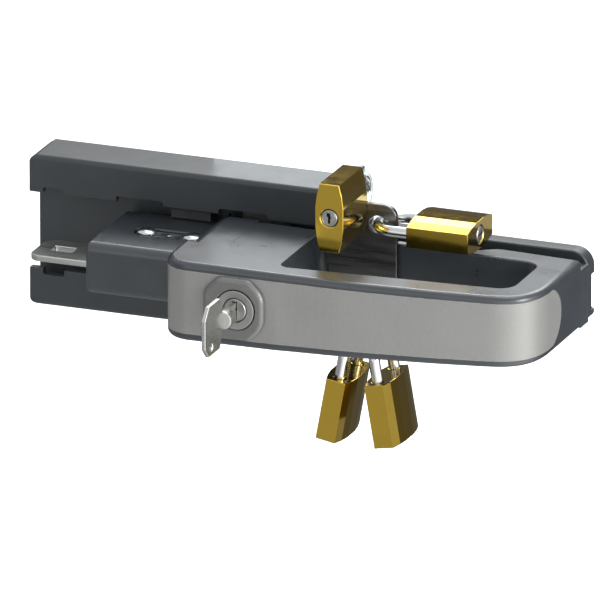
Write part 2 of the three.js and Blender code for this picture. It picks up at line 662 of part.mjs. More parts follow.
// ---------------------------------------------------------------- padlocks
// Each padlock is modelled with its shackle up along +Z, its width along Y,
// and the top of its brass body at Z = 0.
function padlockBody() {
  const half = LOCK_W / 2;
  const side = [[-half, 4.85], [-11, 6.3], [-5, 7.1], [5, 7.1], [11, 6.3], [half, 4.85]];
  const outline = [
    ...side.map(([w, t]) => new THREE.Vector2(t, w)),
    ...[...side].reverse().map(([w, t]) => new THREE.Vector2(-t, w)),
  ];
  const blank = prism('z', outline, -LOCK_BODY_H, 0, 0.4);
  const heelHole = bar('z', 0, LEG_SPREAD, SHACKLE_R + GAP, -HEEL_DEPTH - 1, 1);
  const toeHole = bar('z', 0, -LEG_SPREAD, SHACKLE_R + GAP, -TOE_DEPTH - 1, 1);
  const latchBore = bar('y', 0, -5.5, 2.4 + GAP, -LEG_SPREAD, LEG_SPREAD, 12);
  const plugBore = bar('z', 0, 0, PLUG_R + GAP, -LOCK_BODY_H - 1, -10);
  return cut(blank, heelHole, toeHole, latchBore, plugBore);
}

// The shackle is a round bar: two legs and a half-circle bow between them. A ring of
// points is set square to the bar at each station, and neighbouring rings are joined.
function padlockShackle() {
  const straight = BOW_HEIGHT - LEG_SPREAD;
  const sides = 12;
  const bowSteps = 10;
  const stations = [{ y: LEG_SPREAD, z: -HEEL_DEPTH, lean: 0 }];
  for (let k = 0; k <= bowSteps; k += 1) {
    const lean = (Math.PI * k) / bowSteps;
    stations.push({ y: LEG_SPREAD * Math.cos(lean), z: straight + LEG_SPREAD * Math.sin(lean), lean });
  }
  stations.push({ y: -LEG_SPREAD, z: -TOE_DEPTH, lean: Math.PI });

  const positions = [];
  stations.forEach(({ y, z, lean }) => {
    for (let k = 0; k < sides; k += 1) {
      const turn = (2 * Math.PI * k) / sides;
      const outward = SHACKLE_R * Math.cos(turn);
      positions.push(SHACKLE_R * Math.sin(turn));
      positions.push(y + outward * Math.cos(lean));
      positions.push(z + outward * Math.sin(lean));
    }
  });

  const index = [];
  for (let s = 0; s < stations.length - 1; s += 1) {
    for (let k = 0; k < sides; k += 1) {
      const here = s * sides + k;
      const beside = s * sides + ((k + 1) % sides);
      index.push(here, here + sides, beside, beside, here + sides, beside + sides);
    }
  }
  const end = (stations.length - 1) * sides;
  for (let k = 1; k < sides - 1; k += 1) {
    index.push(0, k, k + 1, end, end + k + 1, end + k);
  }
  const geometry = new THREE.BufferGeometry();
  geometry.setAttribute('position', new THREE.Float32BufferAttribute(positions, 3));
  geometry.setIndex(index);
  return toSolid(geometry);
}

function padlockPlug() {
  const plug = bar('z', 0, 0, PLUG_R, -LOCK_BODY_H, -11);
  const keywayDepth = [-LOCK_BODY_H - 1, -LOCK_BODY_H + 6];
  const keyway = join(
    box([-0.6, 0.6], [-2.6, 2.6], keywayDepth),
    box([-0.6, 1.3], [0.6, 2.6], keywayDepth));
  return cut(plug, keyway);
}

const padlockLatch = () => bar('y', 0, -5.5, 2.4, -7.4, 7.4, 12);

// Where each bow passes through the hasp, how the padlock is turned, and its names.
const PADLOCKS = [
  { x: HOLE_XS[0], y: -PLATE_BACK, z: 28.3, attitude: 'forward' },
  { x: 181.4, y: -PLATE_BACK, z: 28.3, attitude: 'sideways' },
  { x: HOLE_XS[0], y: -PLATE_BACK, z: -28.5, attitude: 'hanging', tilt: 10.3 },
  { x: HOLE_XS[1], y: -PLATE_BACK, z: -28.5, attitude: 'hanging', tilt: -9.8 },
];
const degrees = THREE.MathUtils.degToRad;

PADLOCKS.forEach(({ x, y, z, attitude, tilt }, i) => {
  const pose = new THREE.Group();
  const lock = new THREE.Group();
  pose.add(lock);
  assembly.add(pose);
  if (attitude === 'forward') {
    // Lower leg straight through the hole, body in front of the plate, bow behind it.
    pose.position.set(x, -PLATE_BACK - PLATE_THICK - 0.4, z + LEG_SPREAD);
    pose.rotation.x = -Math.PI / 2;
    lock.rotation.z = Math.PI;
  } else if (attitude === 'sideways') {
    pose.position.set(x + BOW_HEIGHT, y, z);
    pose.rotation.y = -Math.PI / 2;
  } else {
    pose.position.set(x, y, z);
    pose.rotation.y = degrees(tilt);
    lock.position.z = -BOW_HEIGHT;
  }
  const name = `padlock_${i + 1}`;
  place(`${name}_body`, padlockBody(), brass, lock);
  place(`${name}_shackle`, padlockShackle(), hardSteel, lock);
  place(`${name}_plug`, padlockPlug(), nickel, lock);
  place(`${name}_latch`, padlockLatch(), zincSteel, lock);
});

export default assembly;
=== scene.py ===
"""Looks of the guard-door bolt handle with its lockout hasp and four brass padlocks.

Lengths are written in millimetres, x from the left end of the guide rail, y from the
mounting face towards the door (the front is towards -y) and z from the middle of the bolt.
"""
import json
import math

import bmesh
import bpy
from mathutils import Matrix, Vector


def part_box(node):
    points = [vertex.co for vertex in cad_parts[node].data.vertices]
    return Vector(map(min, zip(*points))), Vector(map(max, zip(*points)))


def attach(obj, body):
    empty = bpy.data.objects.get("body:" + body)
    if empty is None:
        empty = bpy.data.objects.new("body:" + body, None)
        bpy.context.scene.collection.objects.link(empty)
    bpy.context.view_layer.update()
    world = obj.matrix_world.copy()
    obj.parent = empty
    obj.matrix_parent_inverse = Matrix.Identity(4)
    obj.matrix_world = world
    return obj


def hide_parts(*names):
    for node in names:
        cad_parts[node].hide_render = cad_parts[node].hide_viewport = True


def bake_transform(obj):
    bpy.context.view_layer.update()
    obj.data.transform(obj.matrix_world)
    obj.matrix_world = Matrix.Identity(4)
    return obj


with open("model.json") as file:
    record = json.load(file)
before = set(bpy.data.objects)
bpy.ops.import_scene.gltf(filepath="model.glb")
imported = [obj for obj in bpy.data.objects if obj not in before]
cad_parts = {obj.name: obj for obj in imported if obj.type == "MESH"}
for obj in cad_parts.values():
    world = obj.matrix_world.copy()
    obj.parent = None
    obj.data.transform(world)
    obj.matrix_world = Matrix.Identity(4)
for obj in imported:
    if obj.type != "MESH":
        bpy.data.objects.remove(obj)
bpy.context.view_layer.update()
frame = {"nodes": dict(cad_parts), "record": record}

MM = 0.001
RAIL_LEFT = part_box("guide_rail")[0].x
BODIES = frame["record"]["behaviour"]["bodies"]
BODY_OF = {node: body for body, nodes in BODIES.items() for node in nodes}
SLOT_OF = {part["node"]: part["material_slot"] for part in frame["record"]["subparts"]}

scene = bpy.context.scene
scene.view_settings.view_transform = "Standard"
scene.view_settings.look = "None"


def to_row(x, y, z):
    """A point in millimetres, taken to the row frame's metres."""
    return Vector((RAIL_LEFT + x * MM, y * MM, z * MM))


# ---------------------------------------------------------------- camera and light
AZIMUTH = math.radians(21.2)
ELEVATION = math.radians(18.8)
AIM = to_row(128.16, 0, -27.4)
CAMERA_DISTANCE = 9.46
TOWARDS_CAMERA = Vector((
    math.sin(AZIMUTH) * math.cos(ELEVATION),
    -math.cos(AZIMUTH) * math.cos(ELEVATION),
    math.sin(ELEVATION)))

camera_data = bpy.data.cameras.new("camera")
camera_data.lens = 1200
camera_data.sensor_width = 36
camera_data.clip_end = 100
camera = bpy.data.objects.new("camera", camera_data)
camera.location = AIM + TOWARDS_CAMERA * CAMERA_DISTANCE
camera.rotation_euler = (-TOWARDS_CAMERA).to_track_quat("-Z", "Y").to_euler()
scene.collection.objects.link(camera)
scene.camera = camera


def area_light(name, place, aim, size, power, color=(1, 1, 1)):
    data = bpy.data.lights.new(name, "AREA")
    data.shape = "RECTANGLE"
    data.size, data.size_y = size
    data.energy = power
    data.color = color
    light = bpy.data.objects.new(name, data)
    light.location = place
    light.rotation_euler = (Vector(aim) - Vector(place)).to_track_quat("-Z", "Y").to_euler()
    light.visible_camera = False
    scene.collection.objects.link(light)


CENTRE = (0, 0, 0)
area_light("top_softbox", (0.2, 0.25, 1.3), CENTRE, (1.1, 0.8), 8)
area_light("back_softbox", (-0.08, 0.9, 0.76), CENTRE, (0.9, 0.45), 8.5)
area_light("right_softbox", (1.3, -0.35, 0.35), CENTRE, (0.6, 0.8), 17)
area_light("front_fill", (-0.5, -1.4, 0.4), CENTRE, (0.9, 0.7), 2)

# Four panels just in front of the mounting face, seen as a glow in the top of the handle. Each has its
# span in x and in z, in millimetres, and its power for each square metre.
GLOW = [(85, 165, 38, 60, 6), (165, 185, 20, 56, 6), (185, 226, 20, 29, 5), (226, 300, 20, 56, 1.5)]
GLOW_COLOR = (0.88, 0.95, 1.0)
GLOW_Y = -0.001
for i, (x0, x1, z0, z1, strength) in enumerate(GLOW):
    middle = ((x0 + x1) / 2 * MM + RAIL_LEFT, GLOW_Y, (z0 + z1) / 2 * MM)
    straight_ahead = (middle[0], -1, middle[2])
    width, height = (x1 - x0) * MM, (z1 - z0) * MM
    power = width * height * strength
    area_light(f"glow_{i + 1}", middle, straight_ahead, (width, height), power, GLOW_COLOR)


# ---------------------------------------------------------------- materials
class Nodes:
    """A node tree, built one node at a time: a material's, or the world's if one is given."""

    def __init__(self, name, world=None):
        owner = world or bpy.data.materials.new(name)
        owner.use_nodes = True
        self.material = owner
        self.tree = owner.node_tree
        self.shader = self.tree.nodes["Background" if world else "Principled BSDF"]
        self.place = self.add("ShaderNodeTexCoord").outputs["Generated" if world else "Object"]

    def add(self, kind, inputs=None, **settings):
        node = self.tree.nodes.new(kind)
        for key, value in settings.items():
            setattr(node, key, value)
        for key, value in (inputs or {}).items():
            self.feed(node.inputs[key], value)
        return node

    def feed(self, socket, value):
        if isinstance(value, bpy.types.NodeSocket):
            self.tree.links.new(value, socket)
        else:
            socket.default_value = value

    def noise(self, scale, detail, roughness, vector=None):
        node = self.add("ShaderNodeTexNoise", {
            "Vector": vector or self.place, "Scale": scale, "Detail": detail, "Roughness": roughness})
        return node.outputs["Fac"]

    def stretch(self, factors):
        node = self.add("ShaderNodeMapping", {"Vector": self.place, "Scale": factors})
        return node.outputs["Vector"]

    def remap(self, value, low, high, out_low, out_high):
        node = self.add("ShaderNodeMapRange", {
            "Value": value, "From Min": low, "From Max": high, "To Min": out_low, "To Max": out_high})
        return node.outputs["Result"]

    def maths(self, operation, a, b):
        return self.add("ShaderNodeMath", {0: a, 1: b}, operation=operation).outputs[0]

    def mix(self, factor, a, b):
        node = self.add("ShaderNodeMix", data_type="RGBA")
        self.feed(node.inputs["Factor"], factor)
        self.feed(node.inputs["A"], a)
        self.feed(node.inputs["B"], b)
        return node.outputs["Result"]

    def edges(self, radius):
        """1 on the edges of the mesh, 0 on its faces."""
        rounded_normal = self.add("ShaderNodeBevel", {"Radius": radius}, samples=4).outputs["Normal"]
        true_normal = self.add("ShaderNodeNewGeometry").outputs["Normal"]
        normals = {0: rounded_normal, 1: true_normal}
        product = self.add("ShaderNodeVectorMath", normals, operation="DOT_PRODUCT").outputs["Value"]
        return self.remap(self.maths("SUBTRACT", 1.0, product), 0.02, 0.35, 0.0, 1.0)

    def cloudy(self, scale, detail, roughness, dark, light):
        """A colour that drifts between two others."""
        return self.mix(self.remap(self.noise(scale, detail, roughness), 0.3, 0.7, 0.0, 1.0), dark, light)

    def worn(self, base, radius, amount, color):
        """A colour with another laid over the edges of the mesh."""
        return self.mix(self.maths("MULTIPLY", self.edges(radius), amount), base, color)

    def tone(self, value):
        """A grey of a given brightness."""
        return self.add("ShaderNodeCombineColor", {0: value, 1: value, 2: value}).outputs[0]

    def bump(self, height, distance, strength, normal=None):
        inputs = {"Height": height, "Distance": distance, "Strength": strength}
        if normal:
            inputs["Normal"] = normal
        return self.add("ShaderNodeBump", inputs).outputs["Normal"]

    def surface(self, **values):
        for key, value in values.items():
            self.feed(self.shader.inputs[key.replace("_", " ")], value)
        return self.material


def rgba(r, g, b):
    return (r, g, b, 1.0)


def shade(color, factor):
    return rgba(*[min(1, c * factor) for c in color])


def powder_coat(name, color, worn, roughness, specular):
    n = Nodes(name)
    base = n.cloudy(45, 4, 0.6, shade(color, 0.88), shade(color, 1.12))
    base = n.worn(base, 0.0005, n.remap(n.noise(240, 4, 0.65), 0.4, 0.7, 0.1, 0.6), rgba(*worn))
    gloss = n.remap(n.noise(90, 2, 0.5), 0.3, 0.7, roughness - 0.03, roughness + 0.03)
    return n.surface(
        Base_Color=base, Roughness=gloss, Specular_IOR_Level=specular,
        Normal=n.bump(n.noise(620, 2, 0.5), 0.000004, 0.3))


def silver_lacquer(name, color, roughness):
    n = Nodes(name)
    flake = n.noise(6500, 1, 0.5)
    sparkle = n.maths("MULTIPLY", n.remap(flake, 0.6, 0.75, 0.0, 1.0), 0.22)
    base = n.cloudy(38, 3, 0.55, shade(color, 0.97), shade(color, 1.03))
    base = n.mix(sparkle, base, rgba(0.9, 0.89, 0.86))
    base = n.worn(base, 0.0005, n.remap(n.noise(300, 4, 0.6), 0.4, 0.7, 0.0, 0.6), rgba(0.72, 0.72, 0.7))
    gloss = n.remap(n.noise(90, 4, 0.6), 0.3, 0.7, roughness - 0.04, roughness + 0.05)
    fine = n.bump(flake, 0.00001, 0.3)
    return n.surface(
        Base_Color=base, Metallic=0.35, Roughness=gloss,
        Normal=n.bump(n.noise(900, 2, 0.5), 0.00003, 0.25, fine))


def brushed_metal(name, color, roughness, factors, depth):
    n = Nodes(name)
    brush = n.noise(1.0, 4, 0.6, n.stretch(factors))
    base = n.cloudy(55, 4, 0.6, shade(color, 0.93), shade(color, 1))
    base = n.mix(n.remap(brush, 0.35, 0.7, 0.0, 0.15), base, shade(color, 1.25))
    base = n.worn(base, 0.0004, 0.4, rgba(0.82, 0.82, 0.8))
    gloss = n.remap(brush, 0.3, 0.7, roughness - 0.05, roughness + 0.1)
    return n.surface(
        Base_Color=base, Metallic=1.0, Roughness=gloss, Normal=n.bump(brush, depth, 0.4))


def plated_metal(name, color, roughness, stain=0.12):
    n = Nodes(name)
    cloud = n.noise(70, 5, 0.65)
    scratch = n.noise(1.0, 3, 0.7, n.stretch((300, 2600, 900)))
    base = n.mix(n.remap(cloud, 0.45, 0.75, 0.0, stain), shade(color, 1), shade(color, 0.45))
    base = n.worn(base, 0.0003, 0.35, rgba(0.9, 0.9, 0.9))
    gloss = n.maths("ADD", n.remap(n.noise(160, 4, 0.6), 0.3, 0.7, roughness * 0.6, roughness * 1.3),
                    n.remap(scratch, 0.66, 0.78, 0.0, 0.12))
    return n.surface(
        Base_Color=base, Metallic=1.0, Roughness=gloss, Normal=n.bump(scratch, 0.000006, 0.3))


def polished_brass(name):
    n = Nodes(name)
    cloud = n.noise(85, 5, 0.65)
    scratch = n.noise(1.0, 3, 0.7, n.stretch((400, 400, 4200)))
    tarnish = n.remap(cloud, 0.5, 0.8, 0.0, 0.16)
    base = n.mix(tarnish, rgba(0.50, 0.34, 0.05), rgba(0.24, 0.14, 0.02))
    base = n.worn(base, 0.0005, 0.55, rgba(0.85, 0.66, 0.2))
    gloss = n.maths("ADD", n.remap(n.noise(200, 4, 0.6), 0.3, 0.7, 0.09, 0.15),
                    n.remap(scratch, 0.64, 0.78, 0.0, 0.1))
    return n.surface(
        Base_Color=base, Metallic=1.0, Roughness=gloss, Normal=n.bump(scratch, 0.000008, 0.25))


def moulded(name, color, roughness):
    n = Nodes(name)
    base = n.cloudy(60, 3, 0.5, shade(color, 0.8), shade(color, 1.3))
    base = n.worn(base, 0.0005, 0.3, shade(color, 3))
    gloss = n.remap(n.noise(220, 3, 0.6), 0.3, 0.7, roughness - 0.08, roughness + 0.08)
    return n.surface(Base_Color=base, Roughness=gloss, Normal=n.bump(n.noise(1800, 3, 0.6), 0.00003, 0.4))


MATERIALS = {
    "dark_casting": powder_coat("dark_casting", (0.020, 0.024, 0.028), (0.10, 0.11, 0.12), 0.30, 0.6),
    "rail_casting": powder_coat("rail_casting", (0.016, 0.020, 0.023), (0.08, 0.09, 0.10), 0.42, 0.45),
    "cover_silver": silver_lacquer("cover_silver", (0.175, 0.174, 0.167), 0.36),
    "nickel": brushed_metal("nickel", (0.32, 0.32, 0.31), 0.36, (900, 40, 900), 0.000004),
    "stainless": brushed_metal("stainless", (0.42, 0.43, 0.41), 0.3, (30, 900, 900), 0.000003),
    "zinc_steel": plated_metal("zinc_steel", (0.42, 0.43, 0.44), 0.30),
    "hard_steel": plated_metal("hard_steel", (0.47, 0.48, 0.48), 0.18, 0.08),
    "brass": polished_brass("brass"),
    "boss_grey": silver_lacquer("boss_grey", (0.10, 0.10, 0.098), 0.36),
    # The hasp plate's steel is darker than bare steel: partly its own burnished tone, partly painted shade
    # for the dark inside of the handle's opening, where the plate hangs.
    "burnished_steel": brushed_metal("burnished_steel", (0.16, 0.16, 0.16), 0.3, (40, 900, 900), 0.000003),
    "acetal": moulded("acetal", (0.020, 0.021, 0.023), 0.5),
    "rubber": moulded("rubber", (0.012, 0.012, 0.013), 0.8),
}


def floor_material():
    n = Nodes("floor")
    tone = n.mix(n.noise(3, 2, 0.5), rgba(0.9, 0.9, 0.9), rgba(0.93, 0.93, 0.93))
    return n.surface(
        Base_Color=tone, Roughness=0.9, Specular_IOR_Level=0.1,
        Emission_Color=rgba(1, 1, 1), Emission_Strength=0.12)


# ---------------------------------------------------------------- mesh building
TO_XYZ = {
    "x": lambda a, b, d: (d, a, b),
    "y": lambda a, b, d: (b, d, a),
    "z": lambda a, b, d: (a, b, d),
}


def mesh_object(name, points, faces, matrix=None):
    """A closed mesh in millimetres; finished() takes it to metres and to its place."""
    mesh = bpy.data.meshes.new(name)
    placed = [matrix @ Vector(p) for p in points] if matrix else points
    mesh.from_pydata(placed, [], faces)
    bm = bmesh.new()
    bm.from_mesh(mesh)
    bmesh.ops.remove_doubles(bm, verts=bm.verts, dist=1e-4)
    bmesh.ops.recalc_face_normals(bm, faces=bm.faces)
    bm.to_mesh(mesh)
    bm.free()
    obj = bpy.data.objects.new(name, mesh)
    scene.collection.objects.link(obj)
    return obj


def lofted(name, rings, matrix=None):
    """Rings with the same number of points, one after the other, joined up and closed at both ends."""
    count = len(rings[0])
    points = [point for ring in rings for point in ring]
    faces = [list(range(count))[::-1], [len(points) - count + i for i in range(count)]]
    for k in range(len(rings) - 1):
        for i in range(count):
            j = (i + 1) % count
            faces.append([k * count + i, k * count + j, (k + 1) * count + j, (k + 1) * count + i])
    return mesh_object(name, points, faces, matrix)


def stack(name, axis, layers, matrix=None):
    """Outlines, each with its depth, one above the other along an axis."""
    rings = [[TO_XYZ[axis](a, b, depth) for a, b in outline] for outline, depth in layers]
    return lofted(name, rings, matrix)


def inset(outline, distance):
    """Every corner of an outline that runs anticlockwise moved inwards by a distance."""
    moved = []
    for i, point in enumerate(outline):
        before = Vector(outline[i - 1])
        here = Vector(point)
        after = Vector(outline[(i + 1) % len(outline)])
        u = (here - before).normalized()
        v = (after - here).normalized()
        normal = Vector((-u.y - v.y, u.x + v.x))
        if normal.length < 1e-6:
            normal = Vector((-u.y, u.x))
        normal.normalize()
        stretch = 1 / max(0.4, normal.dot(Vector((-u.y, u.x))))
        moved.append(tuple(here + normal * distance * stretch))
    return moved


def quarter(steps, first=0):
    """Angles in equal steps over a quarter turn."""
    return [math.pi / 2 * k / steps for k in range(first, steps + 1)]


def eased(t):
    """Rises from 0 to 1 with a gentle start and end."""
    return t * t * (3 - 2 * t)


def anticlockwise(outline):
    area = sum(a[0] * b[1] - b[0] * a[1] for a, b in zip(outline, outline[1:] + outline[:1]))
    return outline if area > 0 else outline[::-1]


def rounded(corners, steps=8):
    """A polygon whose corners (a, b, radius) are rounded by arcs."""
    points = []
    for i, corner in enumerate(corners):
        here = Vector(corner[:2])
        radius = corner[2] if len(corner) > 2 else 0
        if radius == 0:
            points.append(tuple(here))
            continue
        to_before = (Vector(corners[i - 1][:2]) - here).normalized()
        to_after = (Vector(corners[(i + 1) % len(corners)][:2]) - here).normalized()
        half = to_before.angle(to_after) / 2
        start = here + to_before * radius / math.tan(half)
        end = here + to_after * radius / math.tan(half)
        centre = here + (to_before + to_after).normalized() * radius / math.sin(half)
        first = math.atan2(*(start - centre).yx)
        sweep = (math.atan2(*(end - centre).yx) - first + math.pi) % (2 * math.pi) - math.pi
        for k in range(steps + 1):
            angle = first + sweep * k / steps
            points.append((centre.x + radius * math.cos(angle), centre.y + radius * math.sin(angle)))
    return anticlockwise(points)


def rectangle(a0, a1, b0, b1, radius=0, steps=8):
    return rounded([(a0, b0, radius), (a1, b0, radius), (a1, b1, radius), (a0, b1, radius)], steps)


def circle(a, b, radius, sides=48, start=0.0):
    return [(a + radius * math.cos(start + 2 * math.pi * k / sides),
             b + radius * math.sin(start + 2 * math.pi * k / sides)) for k in range(sides)]


def prism(name, axis, outline, low, high, matrix=None):
    outline = anticlockwise(outline)
    return stack(name, axis, [(outline, low), (outline, high)], matrix)


def soft_prism(name, axis, outline, low, high, low_radius, high_radius, matrix=None, steps=4):
    """A prism whose edges at the two ends are rounded over."""
    outline = anticlockwise(outline)
    layers = []
    for angle in quarter(steps):
        layers.append((inset(outline, low_radius * (1 - math.sin(angle))),
                       low + low_radius * (1 - math.cos(angle))))
    for angle in quarter(steps)[::-1]:
        layers.append((inset(outline, high_radius * (1 - math.sin(angle))),
                       high - high_radius * (1 - math.cos(angle))))
    return stack(name, axis, layers, matrix)


def mouth(name, axis, outline, low, high, low_flare, high_flare, steps=4):
    """A cutter whose hole flares out to each face that has a flare, and goes on past that face."""
    outline = anticlockwise(outline)
    past = 3
    layers = []
    if low_flare:
        layers.append((inset(outline, -low_flare), low - past))
        for angle in quarter(steps):
            layers.append((inset(outline, -low_flare * (1 - math.sin(angle))),
                           low + low_flare * (1 - math.cos(angle))))
    else:
        layers.append((outline, low))
    if high_flare:
        for angle in quarter(steps)[::-1]:
            layers.append((inset(outline, -high_flare * (1 - math.sin(angle))),
                           high - high_flare * (1 - math.cos(angle))))
        layers.append((inset(outline, -high_flare), high + past))
    else:
        layers.append((outline, high))
    return stack(name, axis, layers)


def turned(name, axis, centre, profile, matrix=None, sides=48):
    """A solid turned about a line parallel to an axis; the profile holds (radius, depth) points."""
    layers = [(circle(*centre, max(radius, 1e-4), sides), depth) for radius, depth in profile]
    return stack(name, axis, layers, matrix)


def baked(obj):
    """The object's modifiers become its mesh."""
    graph = bpy.context.evaluated_depsgraph_get()
    mesh = bpy.data.meshes.new_from_object(obj.evaluated_get(graph))
    obj.modifiers.clear()
    obj.data = mesh
    return obj


def combine(operation, obj, tools):
    for tool in tools:
        modifier = obj.modifiers.new("combine", "BOOLEAN")
        modifier.operation = operation
        modifier.solver = "MANIFOLD"
        modifier.object = tool
    baked(obj)
    for tool in tools:
        bpy.data.objects.remove(tool)
    return obj


def join(obj, *tools):
    return combine("UNION", obj, tools)


def cut(obj, *tools):
    return combine("DIFFERENCE", obj, tools)


def clip(obj, *tools):
    return combine("INTERSECT", obj, tools)


def tidy_faces(obj):
    """Slivers are welded away and flat neighbours become one face."""
    bm = bmesh.new()
    bm.from_mesh(obj.data)
    bmesh.ops.remove_doubles(bm, verts=bm.verts, dist=0.004)
    bmesh.ops.dissolve_degenerate(bm, edges=bm.edges, dist=0.002)
    bmesh.ops.dissolve_limit(bm, angle_limit=math.radians(0.3), verts=bm.verts, edges=bm.edges)
    bm.to_mesh(obj.data)
    bm.free()


def softened(obj, width, segments=2, angle=35):
    """Edges sharper than an angle are rounded over by a small width."""
    tidy_faces(obj)
    modifier = obj.modifiers.new("soften", "BEVEL")
    modifier.width = width
    modifier.segments = segments
    modifier.limit_method = "ANGLE"
    modifier.angle_limit = math.radians(angle)
    modifier.use_clamp_overlap = True
    modifier.miter_outer = "MITER_ARC"
    return baked(obj)


def finished(obj, *nodes, smooth=35, crease=None, bend=None):
    """Gives a piece its shading, material, body and the CAD nodes that it stands for.

    crease is a range of small edge angles, in degrees, that stay crisp as well. When bend is given the piece
    joins no body and keeps its place; the two bodies and two points that bend names are not used.
    """
    tidy_faces(obj)
    obj.data.transform(Matrix.Translation((RAIL_LEFT, 0, 0)) @ Matrix.Scale(MM, 4))
    obj.data.shade_smooth()
    obj.data.set_sharp_from_angle(angle=math.radians(smooth))
    if crease:
        bm = bmesh.new()
        bm.from_mesh(obj.data)
        for edge in bm.edges:
            angle = math.degrees(edge.calc_face_angle(0))
            if crease[0] < angle < crease[1]:
                edge.smooth = False
        bm.to_mesh(obj.data)
        bm.free()
    modifier = obj.modifiers.new("normals", "WEIGHTED_NORMAL")
    modifier.keep_sharp = True
    modifier.weight = 80
    baked(obj)
    slot = SLOT_OF[nodes[0]]
    obj.data.materials.clear()
    obj.data.materials.append(MATERIALS[slot])
    if bend:
        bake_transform(obj)
    else:
        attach(obj, BODY_OF[nodes[0]])
    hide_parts(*nodes)


def box(name, x, y, z):
    """A plain block between two values of x, of y and of z, for cutting and joining."""
    return prism(name, "z", rectangle(x[0], x[1], y[0], y[1]), z[0], z[1])


# ---------------------------------------------------------------- guide rail
RAIL_LENGTH = 158
RAIL_HALF = 37.3
RAIL_DEPTH = 24
LIP_BACK = 20
WEB_FRONT = 11
TAB_EDGE = 18.8
NOTCH_EDGE = 21.9
NOTCHES = [(6.8, 17.7), (44.1, 68.2), (96.1, 121.2), (148.8, 159)]
RAIL_SCREWS = [(54, 5.5), (54, -5.5), (148, 5.5), (148, -5.5)]
LOCK_X = 134.2
BOLT_TRAVEL = 66


def rail_section():
    wall = RAIL_HALF - 3.5
    half = [
        (0, RAIL_HALF + 1, 0.6), (-RAIL_DEPTH, RAIL_HALF, 2.5), (-RAIL_DEPTH, TAB_EDGE, 0.8),
        (-LIP_BACK, TAB_EDGE, 0.6), (-LIP_BACK, wall, 1), (-WEB_FRONT, wall, 1.5),
    ]
    mirrored = [(y, -z, r) for y, z, r in half[::-1]]
    return rounded(half + mirrored, 5)


def guide_rail():
    rail = soft_prism("guide_rail", "x", rail_section(), 0, RAIL_LENGTH, 0.3, 0.3, steps=2)
    tools = []
    for side in (1, -1):
        for i, (x0, x1) in enumerate(NOTCHES):
            low, high = sorted((side * (TAB_EDGE - 3), side * NOTCH_EDGE))
            outline = rounded([(low, x0, 1.2), (low, x1, 1.2), (high, x1, 1.2), (high, x0, 1.2)], 4)
            tools.append(prism("notch", "y", outline, -RAIL_DEPTH - 1, -LIP_BACK + 1))
        reach = RAIL_HALF + 2
        centre = RAIL_HALF - 4
        arc = [(side * (centre + 4 * math.sin(a)), 4 - 4 * math.cos(a)) for a in quarter(8, 1)]
        outside = [(side * (centre + 0.3), -1), (side * reach, -1), (side * reach, 4.01)]
        corner = anticlockwise(arc[::-1] + outside)
        tools.append(prism("corner", "y", corner, -RAIL_DEPTH - 1, 1))
    for x, z in RAIL_SCREWS:
        tools.append(turned("seat", "y", (z, x), [
            (5.4, -WEB_FRONT - 1), (5.4, -WEB_FRONT), (4.8, -WEB_FRONT + 0.6),
            (4.8, -WEB_FRONT + 5.8), (3.3, -WEB_FRONT + 5.8), (3.3, 1)]))
    for x in (LOCK_X, LOCK_X - BOLT_TRAVEL):
        tools.append(turned("lock_hole", "y", (0, x), [
            (4.2, -WEB_FRONT - 1), (4.2, -WEB_FRONT), (3.6, -WEB_FRONT + 0.6), (3.6, -2)]))
    for x0, x1 in ((5, 27), (31, 46), (74, 96), (100, 122)):
        for z0, z1 in ((6, 32), (-32, -6)):
            tools.append(prism("pocket", "y", rectangle(z0, z1, x0, x1, 2), -7.5, 1))
    return cut(rail, *tools)


finished(guide_rail(), "guide_rail")


# ---------------------------------------------------------------- screws
def flush_screw(node, x, z, head, shank, face, depth):
    screw = turned(node, "y", (z, x), [
        (0, -face + 0.2), (head - 0.5, -face + 0.2), (head, -face + 0.7), (head, -face + depth - 0.4),
        (head - 0.4, -face + depth), (shank, -face + depth), (shank, -0.8), (shank - 0.5, -0.3), (0, -0.3)])
    hexagon = circle(z, x, head * 0.42, 6, math.pi / 6)
    socket = prism("socket", "y", hexagon, -face - 1, -face + depth * 0.6)
    rim = turned("rim", "y", (z, x), [
        (head * 0.5, -face - 1), (head * 0.5, -face + 0.2), (head * 0.38, -face + 0.55), (0, -face + 0.55)])
    finished(cut(screw, socket, rim), node)


for i, (x, z) in enumerate(RAIL_SCREWS):
    flush_screw(f"rail_screw_{i + 1}", x, z, 4.5, 2.7, WEB_FRONT, 5.5)

BASE_DEPTH = 8.5
BASE_SCREWS = [(212, 9), (212, -9), (262, 9), (262, -9)]
for i, (x, z) in enumerate(BASE_SCREWS):
    flush_screw(f"base_screw_{i + 1}", x, z, 3.2, 1.8, BASE_DEPTH, 4)


# ---------------------------------------------------------------- right base plate
BASE_LEFT = RAIL_LENGTH + 0.3
BASE_RIGHT = 276.6
BASE_HALF = 17.1
BRACKET_SCREW_X = 170.7
BRACKET_SCREW_Z = 14.2


